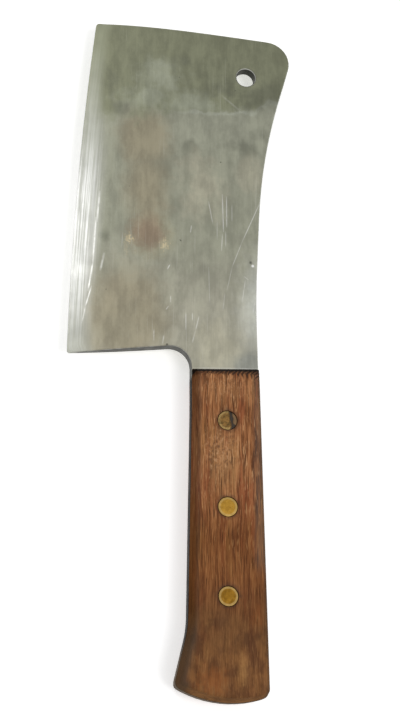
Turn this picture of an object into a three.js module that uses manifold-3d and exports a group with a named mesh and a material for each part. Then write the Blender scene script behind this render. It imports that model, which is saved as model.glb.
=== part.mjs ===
// A butcher's cleaver: one steel blade and tang, two wooden scales and three two-part brass rivets.
// Millimetres, +Z up. The cleaver lies on its side: +Y runs from the butt to the toe of the blade,
// +X from the cutting edge to the spine. Lengths "ahead" and "back" start at the front of the scales, above
// their leaning foot, and each "reach" starts at the line of the rivets.

import * as THREE from 'three';
import { mergeVertices } from 'three/addons/utils/BufferGeometryUtils.js';
import Module from 'manifold-3d';

const wasm = await Module();
wasm.setup();

const degree = Math.PI / 180;

// Blade
const bladeThickness = 6;
const edgeLength = 166;
const edgeRake = 3.4 * degree;
const edgeCrown = 1.9;
const edgeThickness = 0.6;
const heelReach = 70.4;
const heelAhead = 7.3;
const heelSlope = 6.5 * degree;
const heelRadius = 1.2;
const notchRadius = 9.3;
const toeLength = 96.75;
const toeSlope = 2.8 * degree;
const toeCrown = 0.5;
const tipRadius = 1.8;
const toeCornerRadius = 11.2;
const spineBendReach = 18.6;
const spineBendAhead = 107.5;
const spineBendRadius = 276;
const waistReach = 15.1;
const waistAhead = 36.2;
const waistRadius = 400;

// Grind of the blade: the cutting bevel, then a long convex taper up to the full thickness
const bevelWidth = 7.5;
const bevelThickness = 2.6;
const grindWidth = 44;
const grindFullness = 14;
const grindOverrun = 8;

// Hanging hole
const hangingHoleDiameter = 9;
const hangingHoleReach = 11.4;
const hangingHoleAhead = 149.2;

// Grip: the outline that the tang and both scales share
const neckReach = 14.8;
const hollowReach = 14.6;
const hollowBack = 12.8;
const hollowRadius = 1500;
const flareReach = 16.1;
const flareBack = 112.8;
const flareRadius = 50;
const buttEdgeReach = 22;
const buttEdgeBack = 137.2;
const buttEdgeRadius = 3.5;
const buttPeakReach = 1.7;
const buttPeakBack = 147;
const buttSpineReach = 18.8;
const buttSpineBack = 141.1;
const buttSpineRadius = 3.5;

// Scales
const scaleThickness = 8;
const scaleShrinkage = 0.15;
const scaleSideLean = 0.9;
const scaleFrontLean = 2.1;
const scaleFrontSkew = 1.3;
const scaleCornerRadius = 0.6;
const shoulderDrop = 1.6;
const shoulderWidth = 1.8;
const buttShoulderWidth = 1;
const frontChamferLength = 2.5;

// Rivets
const rivetBack = 23.1;
const rivetSpacing = 38.5;
const rivetHeadDiameter = 8.6;
const rivetHeadHeight = 2.4;
const rivetRecess = 0.05;
const sleeveDiameter = 5.2;
const sleeveOverrun = 1.5;
const postDiameter = 3.2;
const postTipGap = 1;
const rivetClearance = 0.2;

// Number of straight pieces that stand for a round stretch
const smallArcSteps = 5;
const largeArcSteps = 10;
const edgeSteps = 24;
const shoulderSteps = 5;
const grindSteps = 7;
const circleSteps = 36;

const halfBlade = bladeThickness / 2;
const halfGrip = halfBlade + scaleThickness;
const asLongAsFits = Infinity;
const shareOfRoom = 0.98;
const outside = 1;

const point = (x, y) => new THREE.Vector2(x, y);

// A corner of an outline, with the kind of side that follows it
const corner = (at, radius, steps, side = 'flank') => ({ at, radius, steps, side });

// The point where a straight line through two points passes a given distance ahead
function pointAtAhead(from, to, ahead) {
  return from.clone().lerp(to, (ahead - from.y) / (to.y - from.y));
}

// The corner at which a bowed side is bent, so that its arc stands out by the given crown
function crownPoint(from, to, crown) {
  const along = to.clone().sub(from).normalize();
  const outward = point(along.y, -along.x);
  return from.clone().lerp(to, 0.5).addScaledVector(outward, 2 * crown);
}

// A closed counterclockwise outline through corners, each one rounded to its radius
function roundedOutline(corners) {
  const count = corners.length;
  const sides = corners.map((here, i) => corners[(i + 1) % count].at.clone().sub(here.at));
  const lengths = sides.map((side) => side.length());
  const before = (i) => (i + count - 1) % count;
  const turns = sides.map((side, i) => {
    const last = sides[before(i)];
    return Math.atan2(last.cross(side), last.dot(side));
  });
  const trims = corners.map((here, i) => {
    const shortest = Math.min(lengths[before(i)], lengths[i]);
    return Math.min(here.radius * Math.tan(Math.abs(turns[i]) / 2), shortest / 2);
  });
  corners.forEach((here, i) => {
    if (here.radius === asLongAsFits) {
      const roomBefore = lengths[before(i)] - trims[before(i)];
      const roomAfter = lengths[i] - trims[(i + 1) % count];
      trims[i] = shareOfRoom * Math.min(roomBefore, roomAfter);
    }
  });
  return corners.flatMap((here, i) => {
    const along = sides[before(i)].clone().normalize();
    const start = here.at.clone().addScaledVector(along, -trims[i]);
    const radius = trims[i] / Math.tan(turns[i] / 2);
    const centre = start.clone().add(point(-along.y, along.x).multiplyScalar(radius));
    return Array.from({ length: here.steps + 1 }, (_, step) =>
      start.clone().rotateAround(centre, (turns[i] * step) / here.steps));
  });
}

// The same corners with each side moved inwards by its own distance
function insetCorners(corners, insets) {
  const count = corners.length;
  const lines = corners.map((here, i) => {
    const along = corners[(i + 1) % count].at.clone().sub(here.at).normalize();
    const through = here.at.clone().add(point(-along.y, along.x).multiplyScalar(insets[i]));
    return { through, along };
  });
  return corners.map((here, i) => {
    const last = lines[(i + count - 1) % count];
    const next = lines[i];
    const gap = next.through.clone().sub(last.through);
    const bend = last.along.cross(next.along);
    const distance = gap.cross(next.along) / bend;
    const at = last.through.clone().addScaledVector(last.along, distance);
    const inset = Math.max(Math.min(insets[i], insets[(i + count - 1) % count]), 0);
    const radius = Math.max(here.radius - Math.sign(bend) * inset, scaleCornerRadius);
    return corner(at, radius, here.steps, here.side);
  });
}

// A closed body through matching outlines, each placed in space by its own matrix
function loft(sections) {
  const rings = sections.map(({ outline, place }) =>
    outline.map((p) => new THREE.Vector3(p.x, p.y, 0).applyMatrix4(place)));
  const size = rings[0].length;
  const triangles = [];
  for (let ring = 0; ring + 1 < rings.length; ring += 1) {
    for (let i = 0; i < size; i += 1) {
      const a = ring * size + i;
      const b = ring * size + ((i + 1) % size);
      triangles.push(a, b, b + size, a, b + size, a + size);
    }
  }
  const lastStart = (rings.length - 1) * size;
  const firstCap = THREE.ShapeUtils.triangulateShape(sections[0].outline, []);
  const lastCap = THREE.ShapeUtils.triangulateShape(sections.at(-1).outline, []);
  firstCap.forEach(([a, b, c]) => triangles.push(c, b, a));
  lastCap.forEach(([a, b, c]) => triangles.push(lastStart + a, lastStart + b, lastStart + c));
  const geometry = new THREE.BufferGeometry().setFromPoints(rings.flat());
  geometry.setIndex(triangles);
  return geometry;
}

const atHeight = (z) => new THREE.Matrix4().makeTranslation(0, 0, z);

// A flat plate of an outline between two heights
function plate(outline, oneHeight, otherHeight) {
  const bottom = Math.min(oneHeight, otherHeight);
  const top = Math.max(oneHeight, otherHeight);
  return loft([bottom, top].map((z) => ({ outline, place: atHeight(z) })));
}

function circle(x, y, diameter) {
  const centre = point(x, y);
  return Array.from({ length: circleSteps }, (_, step) => {
    const angle = (2 * Math.PI * step) / circleSteps;
    return point(Math.cos(angle), Math.sin(angle)).multiplyScalar(diameter / 2).add(centre);
  });
}

function toSolid(geometry) {
  const bare = geometry.clone();
  bare.deleteAttribute('normal');
  bare.deleteAttribute('uv');
  const merged = mergeVertices(bare);
  return new wasm.Manifold(new wasm.Mesh({
    numProp: 3,
    vertProperties: new Float32Array(merged.attributes.position.array),
    triVerts: new Uint32Array(merged.index.array),
  }));
}

function toGeometry(solid) {
  const mesh = solid.getMesh();
  const geometry = new THREE.BufferGeometry();
  geometry.setAttribute('position', new THREE.BufferAttribute(mesh.vertProperties, mesh.numProp));
  geometry.setIndex(new THREE.BufferAttribute(mesh.triVerts, 1));
  const faceted = geometry.toNonIndexed();
  faceted.computeVertexNormals();
  return faceted;
}

function cutAway(geometry, cutters) {
  const solid = cutters.reduce((rest, cutter) => rest.subtract(toSolid(cutter)), toSolid(geometry));
  return toGeometry(solid);
}

// Corners of the blade
const heelCorner = point(-heelReach, heelAhead);
const tip = heelCorner.clone().add(point(Math.sin(edgeRake), Math.cos(edgeRake)).multiplyScalar(edgeLength));
const toeCorner = tip.clone().add(point(Math.cos(toeSlope), -Math.sin(toeSlope)).multiplyScalar(toeLength));
const spineBend = point(spineBendReach, spineBendAhead);
const waist = point(waistReach, waistAhead);
const notch = point(-neckReach, heelAhead + (heelReach - neckReach) * Math.tan(heelSlope));
const edgeMiddle = crownPoint(tip, heelCorner, edgeCrown);

// Corners of the grip, from the edge side round the butt to the spine side
const hollow = point(-hollowReach, -hollowBack);
const flare = point(-flareReach, -flareBack);
const buttEdge = point(-buttEdgeReach, -buttEdgeBack);
const buttPeak = point(-buttPeakReach, -buttPeakBack);
const buttSpine = point(buttSpineReach, -buttSpineBack);
const gripCorners = [
  corner(hollow, hollowRadius, smallArcSteps),
  corner(flare, flareRadius, smallArcSteps),
  corner(buttEdge, buttEdgeRadius, smallArcSteps, 'butt'),
  corner(buttPeak, asLongAsFits, largeArcSteps, 'butt'),
  corner(buttSpine, buttSpineRadius, smallArcSteps),
];

const rivetPlaces = ['front', 'middle', 'rear'].map((name, i) => ({
  name,
  y: -(rivetBack + i * rivetSpacing),
}));
const shankHoleDiameter = sleeveDiameter + 2 * rivetClearance;
const headHoleDiameter = rivetHeadDiameter + 2 * rivetClearance;
const headSeat = halfGrip - rivetRecess - rivetHeadHeight;

// What the grindstone takes off one face: the space above the ground surface, along the whole edge
function grindCutter(side) {
  const ramp = new THREE.QuadraticBezierCurve(
    point(bevelWidth, bevelThickness / 2),
    point(bevelWidth + grindFullness, halfBlade),
    point(grindWidth, halfBlade),
  );
  const profile = [
    point(-edgeCrown - outside, edgeThickness / 2),
    point(0, edgeThickness / 2),
    ...ramp.getPoints(grindSteps),
    point(grindWidth, halfBlade + outside),
    point(-edgeCrown - outside, halfBlade + outside),
  ];
  const outline = side > 0 ? profile : profile.map((p) => point(p.x, -p.y)).reverse();
  const chordAlong = tip.clone().sub(heelCorner).normalize();
  const edgeRadius = edgeLength ** 2 / (8 * edgeCrown);
  const chordMiddle = heelCorner.clone().lerp(tip, 0.5);
  const chordInward = point(chordAlong.y, -chordAlong.x);
  const centre = chordMiddle.clone().addScaledVector(chordInward, edgeRadius - edgeCrown);
  const halfAngle = (edgeLength / 2 + grindOverrun) / edgeRadius;
  const sections = Array.from({ length: edgeSteps + 1 }, (_, step) => {
    const angle = halfAngle * ((2 * step) / edgeSteps - 1);
    const inward = chordInward.clone().rotateAround(point(0, 0), angle);
    const start = centre.clone().addScaledVector(inward, -edgeRadius);
    const place = new THREE.Matrix4().makeBasis(
      new THREE.Vector3(inward.x, inward.y, 0),
      new THREE.Vector3(0, 0, 1),
      new THREE.Vector3(inward.y, -inward.x, 0),
    ).setPosition(start.x, start.y, 0);
    return { outline, place };
  });
  return loft(sections);
}

function bladeGeometry() {
  const outline = roundedOutline([
    corner(heelCorner, heelRadius, smallArcSteps),
    corner(notch, notchRadius, largeArcSteps),
    ...gripCorners,
    corner(waist, waistRadius, smallArcSteps),
    corner(spineBend, spineBendRadius, largeArcSteps),
    corner(toeCorner, toeCornerRadius, largeArcSteps),
    corner(crownPoint(toeCorner, tip, toeCrown), asLongAsFits, largeArcSteps),
    corner(tip, tipRadius, smallArcSteps),
    corner(edgeMiddle, asLongAsFits, edgeSteps),
  ]);
  const through = [-halfBlade - outside, halfBlade + outside];
  const hangingHole = circle(hangingHoleReach, hangingHoleAhead, hangingHoleDiameter);
  const rivetHoles = rivetPlaces.map(({ y }) => plate(circle(0, y, shankHoleDiameter), ...through));
  return cutAway(plate(outline, -halfBlade, halfBlade), [
    grindCutter(1),
    grindCutter(-1),
    plate(hangingHole, ...through),
    ...rivetHoles,
  ]);
}

// A scale on the upper side of the tang, or its mirror image on the lower side: its sides and its front lean in
// from the foot, its rim is rounded over a small drop and its front is chamfered over the same drop
function scaleGeometry(side) {
  const frontSpine = pointAtAhead(buttSpine, waist, scaleFrontSkew);
  const frontEdge = pointAtAhead(hollow, notch, 0);
  const corners = [
    corner(frontEdge, scaleCornerRadius, smallArcSteps),
    ...gripCorners,
    corner(frontSpine, scaleCornerRadius, smallArcSteps, 'front'),
  ];
  // One level of the scale: its drop below the flat face, and how far (0 to 1) it leans in and is rounded
  const layer = (drop, leaned, rounded) => {
    const height = scaleThickness - drop;
    const wallInset = scaleShrinkage + leaned * scaleSideLean;
    const chamfered = leaned * (1 - drop / shoulderDrop);
    const insetOf = {
      flank: wallInset + rounded * shoulderWidth,
      butt: wallInset + rounded * buttShoulderWidth,
      front: chamfered * frontChamferLength - (1 - leaned) * scaleFrontLean,
    };
    const insets = corners.map((here) => insetOf[here.side]);
    const outline = roundedOutline(insetCorners(corners, insets));
    return { outline, place: atHeight(side * (halfBlade + height)) };
  };
  const layers = [layer(scaleThickness, 0, 0)];
  for (let step = 0; step <= shoulderSteps; step += 1) {
    const angle = (Math.PI / 2) * (step / shoulderSteps);
    layers.push(layer(shoulderDrop * (1 - Math.sin(angle)), 1, 1 - Math.cos(angle)));
  }
  if (side < 0) {
    layers.reverse();
  }
  const rivetHoles = rivetPlaces.flatMap(({ y }) => [
    plate(circle(0, y, shankHoleDiameter), side * (halfBlade - outside), side * (halfGrip + outside)),
    plate(circle(0, y, headHoleDiameter), side * headSeat, side * (halfGrip + outside)),
  ]);
  return cutAway(loft(layers), rivetHoles);
}

// A solid turned about the Z axis from a profile of radius and height
function turned(profile) {
  const geometry = new THREE.LatheGeometry(profile.map(([radius, z]) => point(radius, z)), circleSteps);
  return geometry.rotateX(Math.PI / 2);
}

const headTop = halfGrip - rivetRecess;
const headRadius = rivetHeadDiameter / 2;

// Rivet half with a tubular shank, its head in the upper scale
function sleeveGeometry() {
  const shankRadius = sleeveDiameter / 2;
  const boreRadius = postDiameter / 2 + rivetClearance;
  const shankEnd = -halfBlade - sleeveOverrun;
  return turned([
    [0, headSeat],
    [boreRadius, headSeat],
    [boreRadius, shankEnd],
    [shankRadius, shankEnd],
    [shankRadius, headSeat],
    [headRadius, headSeat],
    [headRadius, headTop],
    [0, headTop],
  ]);
}

// Rivet half with a solid shank, its head in the lower scale
function postGeometry() {
  const shankRadius = postDiameter / 2;
  return turned([
    [0, -headTop],
    [headRadius, -headTop],
    [headRadius, -headSeat],
    [shankRadius, -headSeat],
    [shankRadius, headSeat - postTipGap],
    [0, headSeat - postTipGap],
  ]);
}

const steel = () => new THREE.MeshStandardMaterial({ color: 0x8b8d80, roughness: 0.45, metalness: 1 });
const wood = () => new THREE.MeshStandardMaterial({ color: 0x7c4c2d, roughness: 0.6, metalness: 0 });
const brass = () => new THREE.MeshStandardMaterial({ color: 0xb08a3c, roughness: 0.4, metalness: 1 });

function named(name, geometry, material) {
  const mesh = new THREE.Mesh(geometry, material);
  mesh.name = name;
  return mesh;
}

const cleaver = new THREE.Group();
cleaver.add(named('blade', bladeGeometry(), steel()));
cleaver.add(named('upper_scale', scaleGeometry(1), wood()));
cleaver.add(named('lower_scale', scaleGeometry(-1), wood()));

rivetPlaces.forEach(({ name, y }) => {
  const sleeve = named(`${name}_rivet_sleeve`, sleeveGeometry(), brass());
  const post = named(`${name}_rivet_post`, postGeometry(), brass());
  sleeve.position.y = y;
  post.position.y = y;
  cleaver.add(sleeve, post);
});

// The origin lies under the middle of the cleaver, on the surface that it lies on
const extent = new THREE.Box3().setFromObject(cleaver);
const middle = extent.getCenter(new THREE.Vector3());
cleaver.position.set(-middle.x, -middle.y, -extent.min.z);

export default cleaver;
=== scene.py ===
# An old butcher's cleaver lying on its side: its worn surfaces, a plain studio and the camera.
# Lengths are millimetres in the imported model's frame, and become metres where a mesh is made.
import math

import bmesh
import bpy
import numpy as np
from mathutils import Matrix, Vector, noise
from mathutils.geometry import delaunay_2d_cdt


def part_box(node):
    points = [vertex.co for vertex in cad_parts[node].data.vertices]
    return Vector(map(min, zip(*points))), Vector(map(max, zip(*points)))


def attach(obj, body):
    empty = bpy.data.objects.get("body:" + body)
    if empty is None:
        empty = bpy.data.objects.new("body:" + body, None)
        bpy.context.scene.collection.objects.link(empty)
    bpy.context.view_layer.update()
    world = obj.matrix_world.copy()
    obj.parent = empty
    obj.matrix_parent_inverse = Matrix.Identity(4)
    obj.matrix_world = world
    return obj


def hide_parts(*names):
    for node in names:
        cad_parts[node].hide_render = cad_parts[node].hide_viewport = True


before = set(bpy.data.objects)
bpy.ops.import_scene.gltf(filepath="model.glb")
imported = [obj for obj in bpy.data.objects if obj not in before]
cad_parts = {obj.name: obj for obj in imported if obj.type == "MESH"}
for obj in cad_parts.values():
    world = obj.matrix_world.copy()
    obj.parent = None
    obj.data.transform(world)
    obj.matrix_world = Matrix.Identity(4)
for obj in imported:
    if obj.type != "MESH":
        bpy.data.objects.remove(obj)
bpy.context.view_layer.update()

MM = 0.001
BODY = "root"

# Photograph: its frame and the camera that fits it
IMAGE_HEIGHT = 722
FOCAL_PIXELS = 1500
SENSOR = 36
CAMERA_AIM = (8.49, -7.66, 11.0)
CAMERA_DISTANCE = 675
CAMERA_TILT = math.radians(17.5)
CAMERA_SIDESTEP = math.radians(9.3)
CAMERA_NEAR_M = 0.01

# Blade: the grind, the broken corners and the small nicks of the cutting edge
BEVEL_WIDTH = 7.5
BEVEL_THICKNESS = 2.6
GRIND_WIDTH = 44
GRIND_FULLNESS = 14
EDGE_THICKNESS = 0.6
EDGE_LIMIT = 1.0
BLADE_CHAMFER = 0.35
HOLE_CHAMFER = 0.6
BLADE_SPACING = 1.6
RIM_SPACING = 1.2
NICK_DEPTH = 0.08
NICK_LENGTH = 3.1
NICK_SEED = 5.3
WAVE_DEPTH = 0.035
WAVE_LENGTHS = (23, 31)
WAVE_SEED = 7.7
PROFILE_STEPS = 200
BLADE_SHARP_ANGLE = math.radians(28)

# Scales: the leaning sides and front, the rounded shoulder, the rasped front end and the open grain
SIDE_LEAN = 0.9
FRONT_LEAN = 2.1
FRONT_LEAN_REACH = 12
SHOULDER_DROP = 1.6
SHOULDER_WIDTH = 1.8
BUTT_SHOULDER_WIDTH = 1
FRONT_CHAMFER_LENGTH = 2.5
SHOULDER_RINGS = (0.05, 0.12, 0.25, 0.42, 0.65, 0.92, 1.2, 1.5, 1.8, 2.15, 2.5)
SCALE_RIM_SPACING = 0.5
FRONT_FACING = 0.9
BUTT_FACING = 0.7
CORNER_FACING = 0.28
RING_SHARE = 0.97
GRAIN_STEP = 0.36
GRAIN_STRETCH = 4
GRAIN_LENGTHS = (0.9, 16)
GRAIN_SEED = 3.1
FINE_GRAIN_LENGTHS = (0.45, 7)
FINE_GRAIN_SEED = 8.4
FINE_GRAIN_SHARE = 0.6
PORE_START = 0.25
PORE_DEPTH = 0.16
DENT_LENGTHS = (9, 14)
DENT_SEED = 5.5
DENT_START = 0.2
DENT_DEPTH = 0.14
WEAR_MARGIN = 0.5
RIVET_DISH_DEPTH = 0.12
RIVET_DISH_WIDTH = 0.8
RASP_PITCH = 2.1
RASP_DEPTH = 0.6
RASP_LENGTH = 5
RASP_SLANT = 1.1
RASP_FADE = 1.3
RASP_SHORTEST = 0.45
RASP_FAINTEST = 0.3
RASP_WANDER = 0.5
RASP_WANDER_LENGTH = 3
RASP_SEED = 2.2
RASP_GROOVE_TOP = 1.15
RASP_GROOVE_STEEPNESS = 3
SCALE_SHARP_ANGLE = math.radians(40)

# Rivets
RIVET_NAMES = ("front", "middle", "rear")
RIVET_HEAD_HEIGHT = 2.4
SLEEVE_DIAMETER = 5.2
POST_DIAMETER = 3.2
POST_TIP_GAP = 1
SLEEVE_OVERRUN = 1.5
RIVET_CLEARANCE = 0.2
RIVET_ROUNDING = 0.25
ROUNDING_RINGS = 5
HEAD_RINGS = 18
HEAD_FLAT = (0.02, 0.92)
AXIS_RADIUS = 0.05
HAMMER_DEPTH = 0.05
HAMMER_LENGTH = 2.4
HEAD_CROWN = 0.04
RIVET_SHARP_ANGLE = math.radians(35)
GOUGE_PLACE = 2
GOUGE_HALF_WIDTH = 1.0
GOUGE_DEPTH = 0.7
GOUGE_RIM_DROP = 0.34
GOUGE_SLANT = 0.12
GOUGE_RAGGED = 0.9
GOUGE_LENGTHS = (1.5, 1.7)
GOUGE_SEED = 3
CIRCLE_POINTS = 64

# Limits of the mesh work, and a wavelength too long to have an effect
WELD = 1e-6
THIN = 1e-4
FLAT_FACING = 0.9
CHUNK = 2000
ENDLESS = 1e6


def box_mm(node):
    low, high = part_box(node)
    return np.array(low) / MM, np.array(high) / MM


blade_low, blade_high = box_mm("blade")
MIDDLE = (blade_low[2] + blade_high[2]) / 2
HALF_BLADE = (blade_high[2] - blade_low[2]) / 2
HALF_GRIP = box_mm("upper_scale")[1][2] - MIDDLE
FACE = blade_high[2]
LOWER_FACE = MIDDLE - HALF_BLADE
GRIP_FACE = MIDDLE + HALF_GRIP
LOWER_GRIP_FACE = MIDDLE - HALF_GRIP


# Outlines in plan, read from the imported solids

def signed_area(loop):
    nxt = np.roll(loop, -1, axis=0)
    return 0.5 * np.sum(loop[:, 0] * nxt[:, 1] - nxt[:, 0] * loop[:, 1])


# The closed outlines round a node's flat faces on one side, the outer one first
def rim_loops(node, side):
    solid = bmesh.new()
    solid.from_mesh(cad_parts[node].data)
    bmesh.ops.remove_doubles(solid, verts=solid.verts, dist=WELD)
    solid.normal_update()
    neighbours = {}
    for edge in solid.edges:
        flat = [face.normal.z * side > FLAT_FACING for face in edge.link_faces]
        if sum(flat) == 1:
            first, second = edge.verts
            neighbours.setdefault(first, []).append(second)
            neighbours.setdefault(second, []).append(first)
    loops = []
    while neighbours:
        start = next(iter(neighbours))
        loop = [start]
        while True:
            onward = [v for v in neighbours.pop(loop[-1]) if v in neighbours]
            if not onward:
                break
            loop.append(onward[0])
        loops.append(np.array([tuple(v.co) for v in loop]) / MM)
    solid.free()
    loops.sort(key=lambda loop: -abs(signed_area(loop)))
    return [loop if signed_area(loop) > 0 else loop[::-1] for loop in loops]


# The same loop with more points, none further apart than the spacing
def spread(loop, spacing):
    points = []
    for here, there in zip(loop, np.roll(loop, -1, axis=0)):
        parts = max(1, math.ceil(np.linalg.norm(there - here) / spacing))
        points += [here + (there - here) * part / parts for part in range(parts)]
    return np.array(points)


def outward_normals(loop):
    along = np.roll(loop, -1, axis=0) - np.roll(loop, 1, axis=0)
    along /= np.linalg.norm(along, axis=1)[:, None]
    return np.column_stack([along[:, 1], -along[:, 0]])


def circle(centre, radius):
    angles = -2 * math.pi * np.arange(CIRCLE_POINTS) / CIRCLE_POINTS
    return np.column_stack([np.cos(angles), np.sin(angles)]) * radius + centre


# Distance of each point from the nearest of some straight stretches
def distances(points, starts, ends):
    along = ends - starts
    length2 = np.maximum(np.sum(along ** 2, axis=1), WELD)
    result = []
    for chunk in np.array_split(points, max(1, len(points) // CHUNK)):
        offset = chunk[:, None, :] - starts[None]
        share = np.clip(np.sum(offset * along[None], axis=2) / length2, 0, 1)
        gap = offset - share[..., None] * along[None]
        result.append(np.sqrt(np.min(np.sum(gap ** 2, axis=2), axis=1)))
    return np.concatenate(result)


def loop_distances(points, loop):
    return distances(points, loop, np.roll(loop, -1, axis=0))


def inside(points, loop):
    x, y = points[:, :1], points[:, 1:2]
    nxt = np.roll(loop, -1, axis=0)
    rise = nxt[:, 1] - loop[:, 1]
    rise = np.where(rise == 0, WELD, rise)
    crossing = (loop[:, 1] > y) != (nxt[:, 1] > y)
    where = loop[:, 0] + (y - loop[:, 1]) / rise * (nxt[:, 0] - loop[:, 0])
    return np.sum(crossing & (x < where), axis=1) % 2 == 1


def grid(loop, step_x, step_y):
    low, high = loop.min(axis=0), loop.max(axis=0)
    xs = np.arange(low[0], high[0], step_x)
    ys = np.arange(low[1], high[1], step_y)
    points = np.array([(x + step_x / 2 * (row % 2), y) for row, y in enumerate(ys) for x in xs])
    return points[inside(points, loop)]


# Smooth unevenness between -1 and 1, with one wavelength across and one along
def ripple(points, lengths, seed):
    across, along = lengths
    return np.array([noise.noise((x / across, y / along, seed)) for x, y in points])


# Meshes

class Shell:
    """A closed mesh put together from flat sheets and the bands between their rims"""

    def __init__(self):
        self.points = []
        self.faces = []

    def add(self, plan, heights):
        first = sum(len(part) for part in self.points)
        self.points.append(np.column_stack([plan, np.broadcast_to(heights, len(plan))]))
        return np.arange(first, first + len(plan))

    def band(self, upper, lower):
        for i in range(len(upper)):
            j = (i + 1) % len(upper)
            self.faces.append((upper[i], lower[i], lower[j], upper[j]))

    # Fills an outline with holes through its own and some inner points, and returns each rim's indices
    def sheet(self, loops, inner, height):
        plan = np.vstack([*loops, inner])
        edges = []
        first = 0
        for loop in loops:
            edges += [(first + i, first + (i + 1) % len(loop)) for i in range(len(loop))]
            first += len(loop)
        flat = [Vector(point) for point in plan]
        found, _, triangles, origins, _, _ = delaunay_2d_cdt(flat, edges, [], 0, WELD)
        plan = np.array([tuple(point) for point in found])
        triangles = np.array(triangles)
        centres = plan[triangles].mean(axis=1)
        keep = inside(centres, loops[0])
        for hole in loops[1:]:
            keep &= ~inside(centres, hole)
        place = {origin: new for new, group in enumerate(origins) for origin in group}
        rim_sides = {frozenset((place[a], place[b])) for a, b in edges}
        keep = self.without_stray(plan, triangles, keep, rim_sides)
        indices = self.add(plan, height(plan))
        self.faces += [tuple(indices[list(t)]) for t in triangles[keep]]
        rims = []
        first = 0
        for loop in loops:
            rims.append(np.array([indices[place[first + i]] for i in range(len(loop))]))
            first += len(loop)
        return rims

    # A triangle of rim points with no area stays only where it closes a rim that no other triangle reaches
    def without_stray(self, plan, triangles, keep, rim_sides):
        first, second, third = (plan[triangles[:, i]] for i in range(3))
        one, other = second - first, third - first
        on_rim = np.isin(triangles, [point for side in rim_sides for point in side]).all(axis=1)
        thin = on_rim & (np.abs(one[:, 0] * other[:, 1] - one[:, 1] * other[:, 0]) < THIN)

        def sides_of(triangle):
            return {frozenset((triangle[i], triangle[i - 1])) for i in range(3)}

        reached = set().union(*(sides_of(triangle) for triangle in triangles[keep & ~thin]))
        needed = rim_sides - reached
        keep = keep & ~thin
        keep[thin] = [bool(sides_of(triangle) & needed) for triangle in triangles[thin]]
        return keep

    def build(self, name, sharp_angle, values):
        mesh = bpy.data.meshes.new(name)
        points = np.vstack(self.points)
        mesh.from_pydata((points * MM).tolist(), [], [list(map(int, face)) for face in self.faces])
        work = bmesh.new()
        work.from_mesh(mesh)
        for key in values:
            work.verts.layers.float.new(key)
        for key, numbers in values.items():
            layer = work.verts.layers.float[key]
            for vertex, number in zip(work.verts, numbers(points)):
                vertex[layer] = number
        loose = [v for v in work.verts if not v.link_faces]
        bmesh.ops.delete(work, geom=loose, context="VERTS")
        bmesh.ops.recalc_face_normals(work, faces=work.faces)
        work.to_mesh(mesh)
        work.free()
        mesh.shade_smooth()
        mesh.set_sharp_from_angle(angle=sharp_angle)
        piece = bpy.data.objects.new(name, mesh)
        bpy.context.scene.collection.objects.link(piece)
        return piece


NO_POINTS = np.empty((0, 2))


# Blade

blade_loops = rim_loops("blade", 1)
edge_points = blade_loops[0][np.abs(blade_loops[0][:, 2] - MIDDLE) < EDGE_LIMIT / 2][:, :2]
edge_points = edge_points[np.argsort(edge_points[:, 1])]
hanging_hole = max((loop[:, :2].mean(axis=0) for loop in blade_loops[1:]), key=lambda centre: centre[1])


def edge_distance(plan):
    return distances(plan, edge_points[:-1], edge_points[1:])


# Half the blade's thickness at a distance from the cutting edge
def blade_half(distance):
    t = np.linspace(0, 1, PROFILE_STEPS)
    u = 1 - t
    ramp_x = u ** 2 * BEVEL_WIDTH + 2 * t * u * (BEVEL_WIDTH + GRIND_FULLNESS) + t ** 2 * GRIND_WIDTH
    ramp_z = u ** 2 * BEVEL_THICKNESS / 2 + (1 - u ** 2) * HALF_BLADE
    table_x = np.concatenate([[0], ramp_x])
    table_z = np.concatenate([[EDGE_THICKNESS / 2], ramp_z])
    return np.interp(distance, table_x, table_z)


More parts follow.
